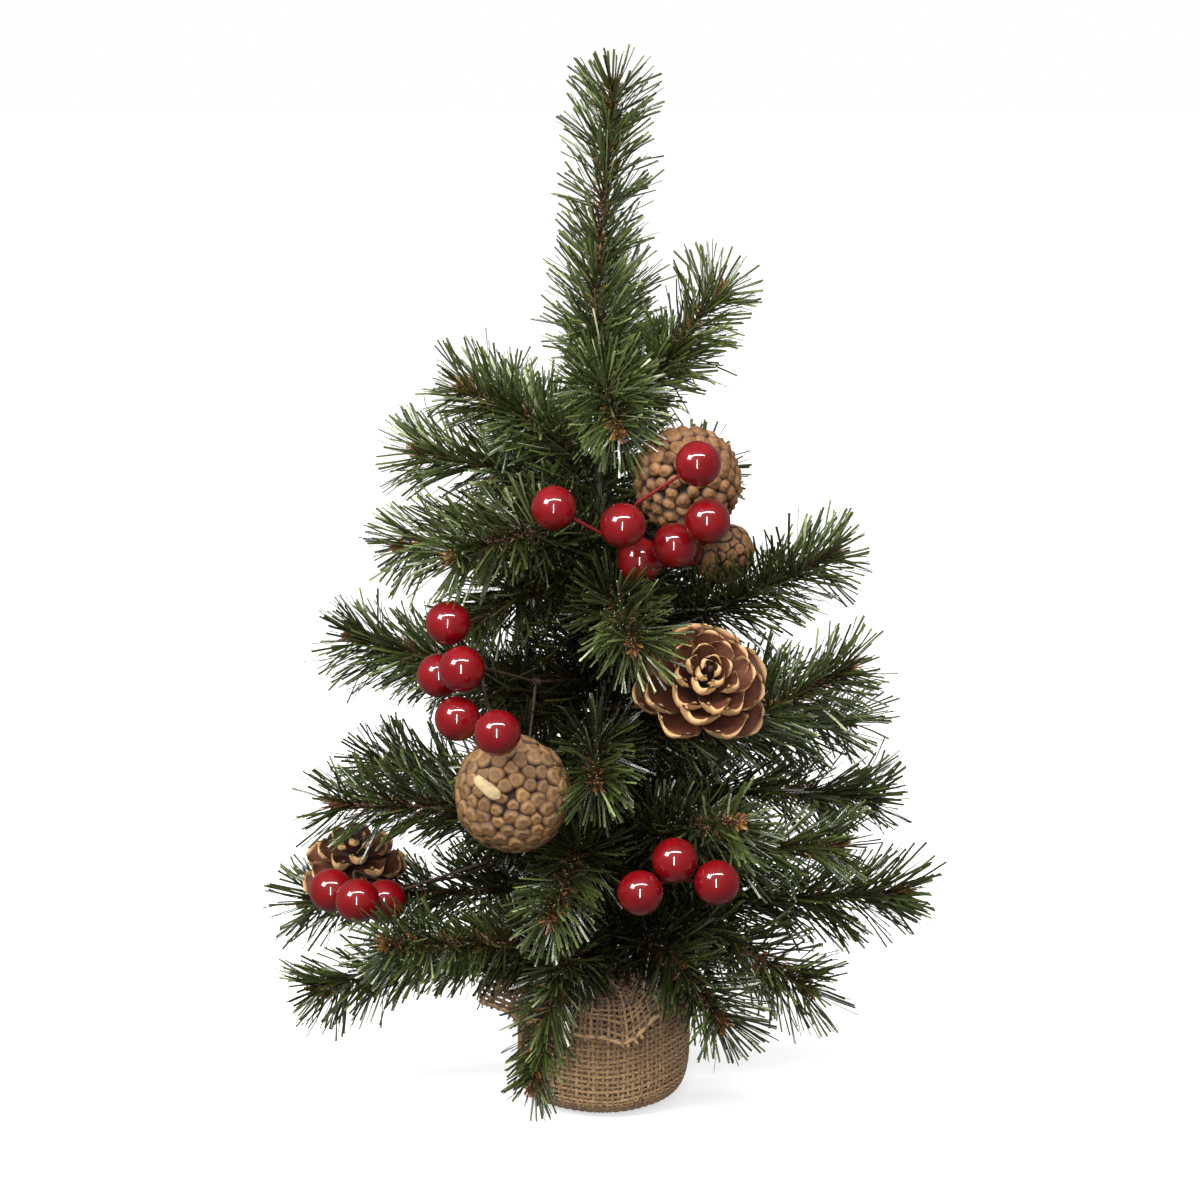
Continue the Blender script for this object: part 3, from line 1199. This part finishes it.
def make_trunk_tape():
    """Paper tape wound up the trunk, each turn lapped over the last."""
    low, high = 35.8, 286.0
    z = np.arange(low, high, 0.8)
    angle = full_turn(28)
    wrap = (z[:, None] / 9.0 - angle[None] / (2 * math.pi)) % 1.0
    radius = 3.62 + 0.30 * wrap ** 0.7 + 0.05 * np.sin(5 * angle[None] + z[:, None] * 0.2)
    shape = Shape()
    add_tube(shape, np.stack([0 * z, 0 * z, z], axis=1), radius, 28)
    shape.make("wound_trunk_tape", TAPE, "trunk", "trunk_tape", ["trunk_tape"])


def dress_cad_nodes():
    """Better materials for the CAD pieces that stay."""
    cement = plain_material(
        "cement", (0.20, 0.19, 0.175), (0.36, 0.35, 0.33), 90.0, (0.75, 0.95), relief=0.6, depth=0.0008
    )
    cup = plain_material(
        "brown_cup", (0.105, 0.058, 0.026), (0.150, 0.088, 0.042), 140.0, (0.40, 0.60), relief=0.1
    )
    rod = plain_material(
        "galvanised_rod", (0.30, 0.30, 0.30), (0.50, 0.50, 0.49), 200.0, (0.30, 0.50),
        0.9, 0.2, 0.0001, (1, 1, 0.1)
    )
    looks = {"base_weight": cement, "base_cup": cup, "trunk_rod": rod}
    for name, material in looks.items():
        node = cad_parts[name]
        node.data.materials.clear()
        node.data.materials.append(material)


# ---------------------------------------------------------------- studio
SKY_SEEN = 1.0
SKY_ABOVE = 1.0
SKY_BELOW = 0.10
SKY_SHINE = 0.20
FLOOR_HALF_SIDE = 9.0
CAMERA_RISE = math.radians(10.0)
CAMERA_DISTANCE = 1.600
CAMERA_AIM = Vector((-0.0013, 0.0, 0.217))
SEEN_WIDTH = 0.5058
SENSOR = 36.0


def make_floor():
    """A wide plain floor, faintly uneven so that it isn't a single flat tone."""
    look = new_look("studio_floor")
    tone = look.ramp(look.noise(3.0, 2.0), (0.3, (0.60, 0.60, 0.60)), (0.7, (0.62, 0.62, 0.62)))
    material = look.wear({
        "Base Color": tone,
        "Roughness": 0.9,
        "Specular IOR Level": 0.0,
        "Emission Color": (1.0, 1.0, 1.0),
        "Emission Strength": 0.58,
    })
    far = FLOOR_HALF_SIDE
    mesh = bpy.data.meshes.new("studio_floor")
    mesh.from_pydata([(-far, -far, 0), (far, -far, 0), (far, far, 0), (-far, far, 0)], [], [(0, 1, 2, 3)])
    mesh.materials.append(material)
    floor = into_scene("studio_floor", mesh)
    floor.visible_diffuse = False
    floor.visible_glossy = False


def stand(obj, place, aim):
    obj.location = place
    obj.rotation_euler = (aim - place).to_track_quat("-Z", "Y").to_euler()


def add_light(name, place, aim, width, height, power):
    data = bpy.data.lights.new(name, "AREA")
    data.shape = "RECTANGLE"
    data.size, data.size_y = width, height
    data.energy = power
    light = into_scene(name, data)
    stand(light, Vector(place), Vector(aim))
    light.visible_camera = False


def make_studio():
    scene = bpy.context.scene
    world = bpy.data.worlds.new("studio")
    sky = Nodes(world)
    way = sky.new("TexCoord").outputs["Generated"]
    height = sky.new("SeparateXYZ", {"Vector": way}).outputs["Z"]
    path = sky.new("LightPath").outputs
    dome = sky.spread(height, SKY_BELOW, SKY_ABOVE, (-0.35, 0.75))
    strength = sky.mix(path["Is Diffuse Ray"], (SKY_SEEN,) * 3, dome)
    strength = sky.mix(path["Is Glossy Ray"], strength, (SKY_SHINE,) * 3)
    sky.put(world.node_tree.nodes["Background"], {"Color": (1.0, 1.0, 1.0), "Strength": strength})
    scene.world = world
    scene.view_settings.view_transform = "Standard"
    make_floor()
    add_light("overhead_bar", (0.05, -0.85, 1.35), (0, 0, 0.24), 1.5, 0.10, 26.0)
    add_light("front_strip", (-0.12, -1.9, 0.50), (0, 0, 0.22), 0.10, 1.5, 26.0)
    add_light("left_key", (-1.3, -1.1, 1.5), (0, 0, 0.34), 0.7, 0.7, 46.0)
    lens = bpy.data.cameras.new("photo_camera")
    lens.sensor_width = SENSOR
    lens.lens = SENSOR * CAMERA_DISTANCE / SEEN_WIDTH
    camera = into_scene("photo_camera", lens)
    back = Vector((0.0, -math.cos(CAMERA_RISE), math.sin(CAMERA_RISE)))
    stand(camera, CAMERA_AIM + CAMERA_DISTANCE * back, CAMERA_AIM)
    scene.camera = camera


BERRY_CENTRES = [np.array(points[-1], float) for pick in PICKS.values() for points in pick["berries"]]
NEEDLES = needle_material()
WIRE = wire_material()
BERRY = berry_material()
STEM = stem_material()
CONE_TAN = cone_material(
    "closed_cone_tan", (0.165, 0.088, 0.030), (0.088, 0.040, 0.013), (0.022, 0.008, 0.003), (0.46, 0.37, 0.22)
)
CONE_ORANGE = cone_material(
    "closed_cone_orange",
    (0.175, 0.086, 0.030), (0.110, 0.046, 0.015), (0.014, 0.005, 0.002), (0.42, 0.27, 0.13)
)
CONE_OPEN = cone_material(
    "open_cone", (0.082, 0.022, 0.006), (0.17, 0.060, 0.022), (0.018, 0.004, 0.002), (0.60, 0.40, 0.195)
)
BURLAP = burlap_material("burlap", (0.135, 0.068, 0.026), (0.47, 0.300, 0.148))
TAPE = plain_material(
    "olive_paper_tape", (0.020, 0.026, 0.012), (0.050, 0.052, 0.022), 260.0, (0.55, 0.8), relief=0.4
)

make_studio()
make_branches()
make_crown()
make_trunk_wrap()
make_picks()
make_closed_cone("cone_top", CONE_ORANGE, 21, None, 165, 0.0, (0.68, 0.62), 3.2, 0.9)
make_closed_cone("cone_front", CONE_TAN, 22, CUT_STALK, 190, 1.3, (0.71, 0.67), 3.0, -0.2)
make_open_cone("cone_open", CONE_OPEN, 23, 32, [92, 79, 62, 42, 20], [1.02, 0.98, 0.76, 0.36], 0.50,
               (0.13, 0.02, -0.02), 2.2)
make_open_cone("cone_left", CONE_OPEN, 24, 26, [116, 100, 78, 50, 24], [0.98, 1.0, 0.78, 0.36], 0.60)
make_closed_cone("cone_back", CONE_ORANGE, 25, None, 90, 0.0, (0.70, 0.66), 1.5, -0.1)
make_sack()
make_tie()
make_trunk_tape()
dress_cad_nodes()
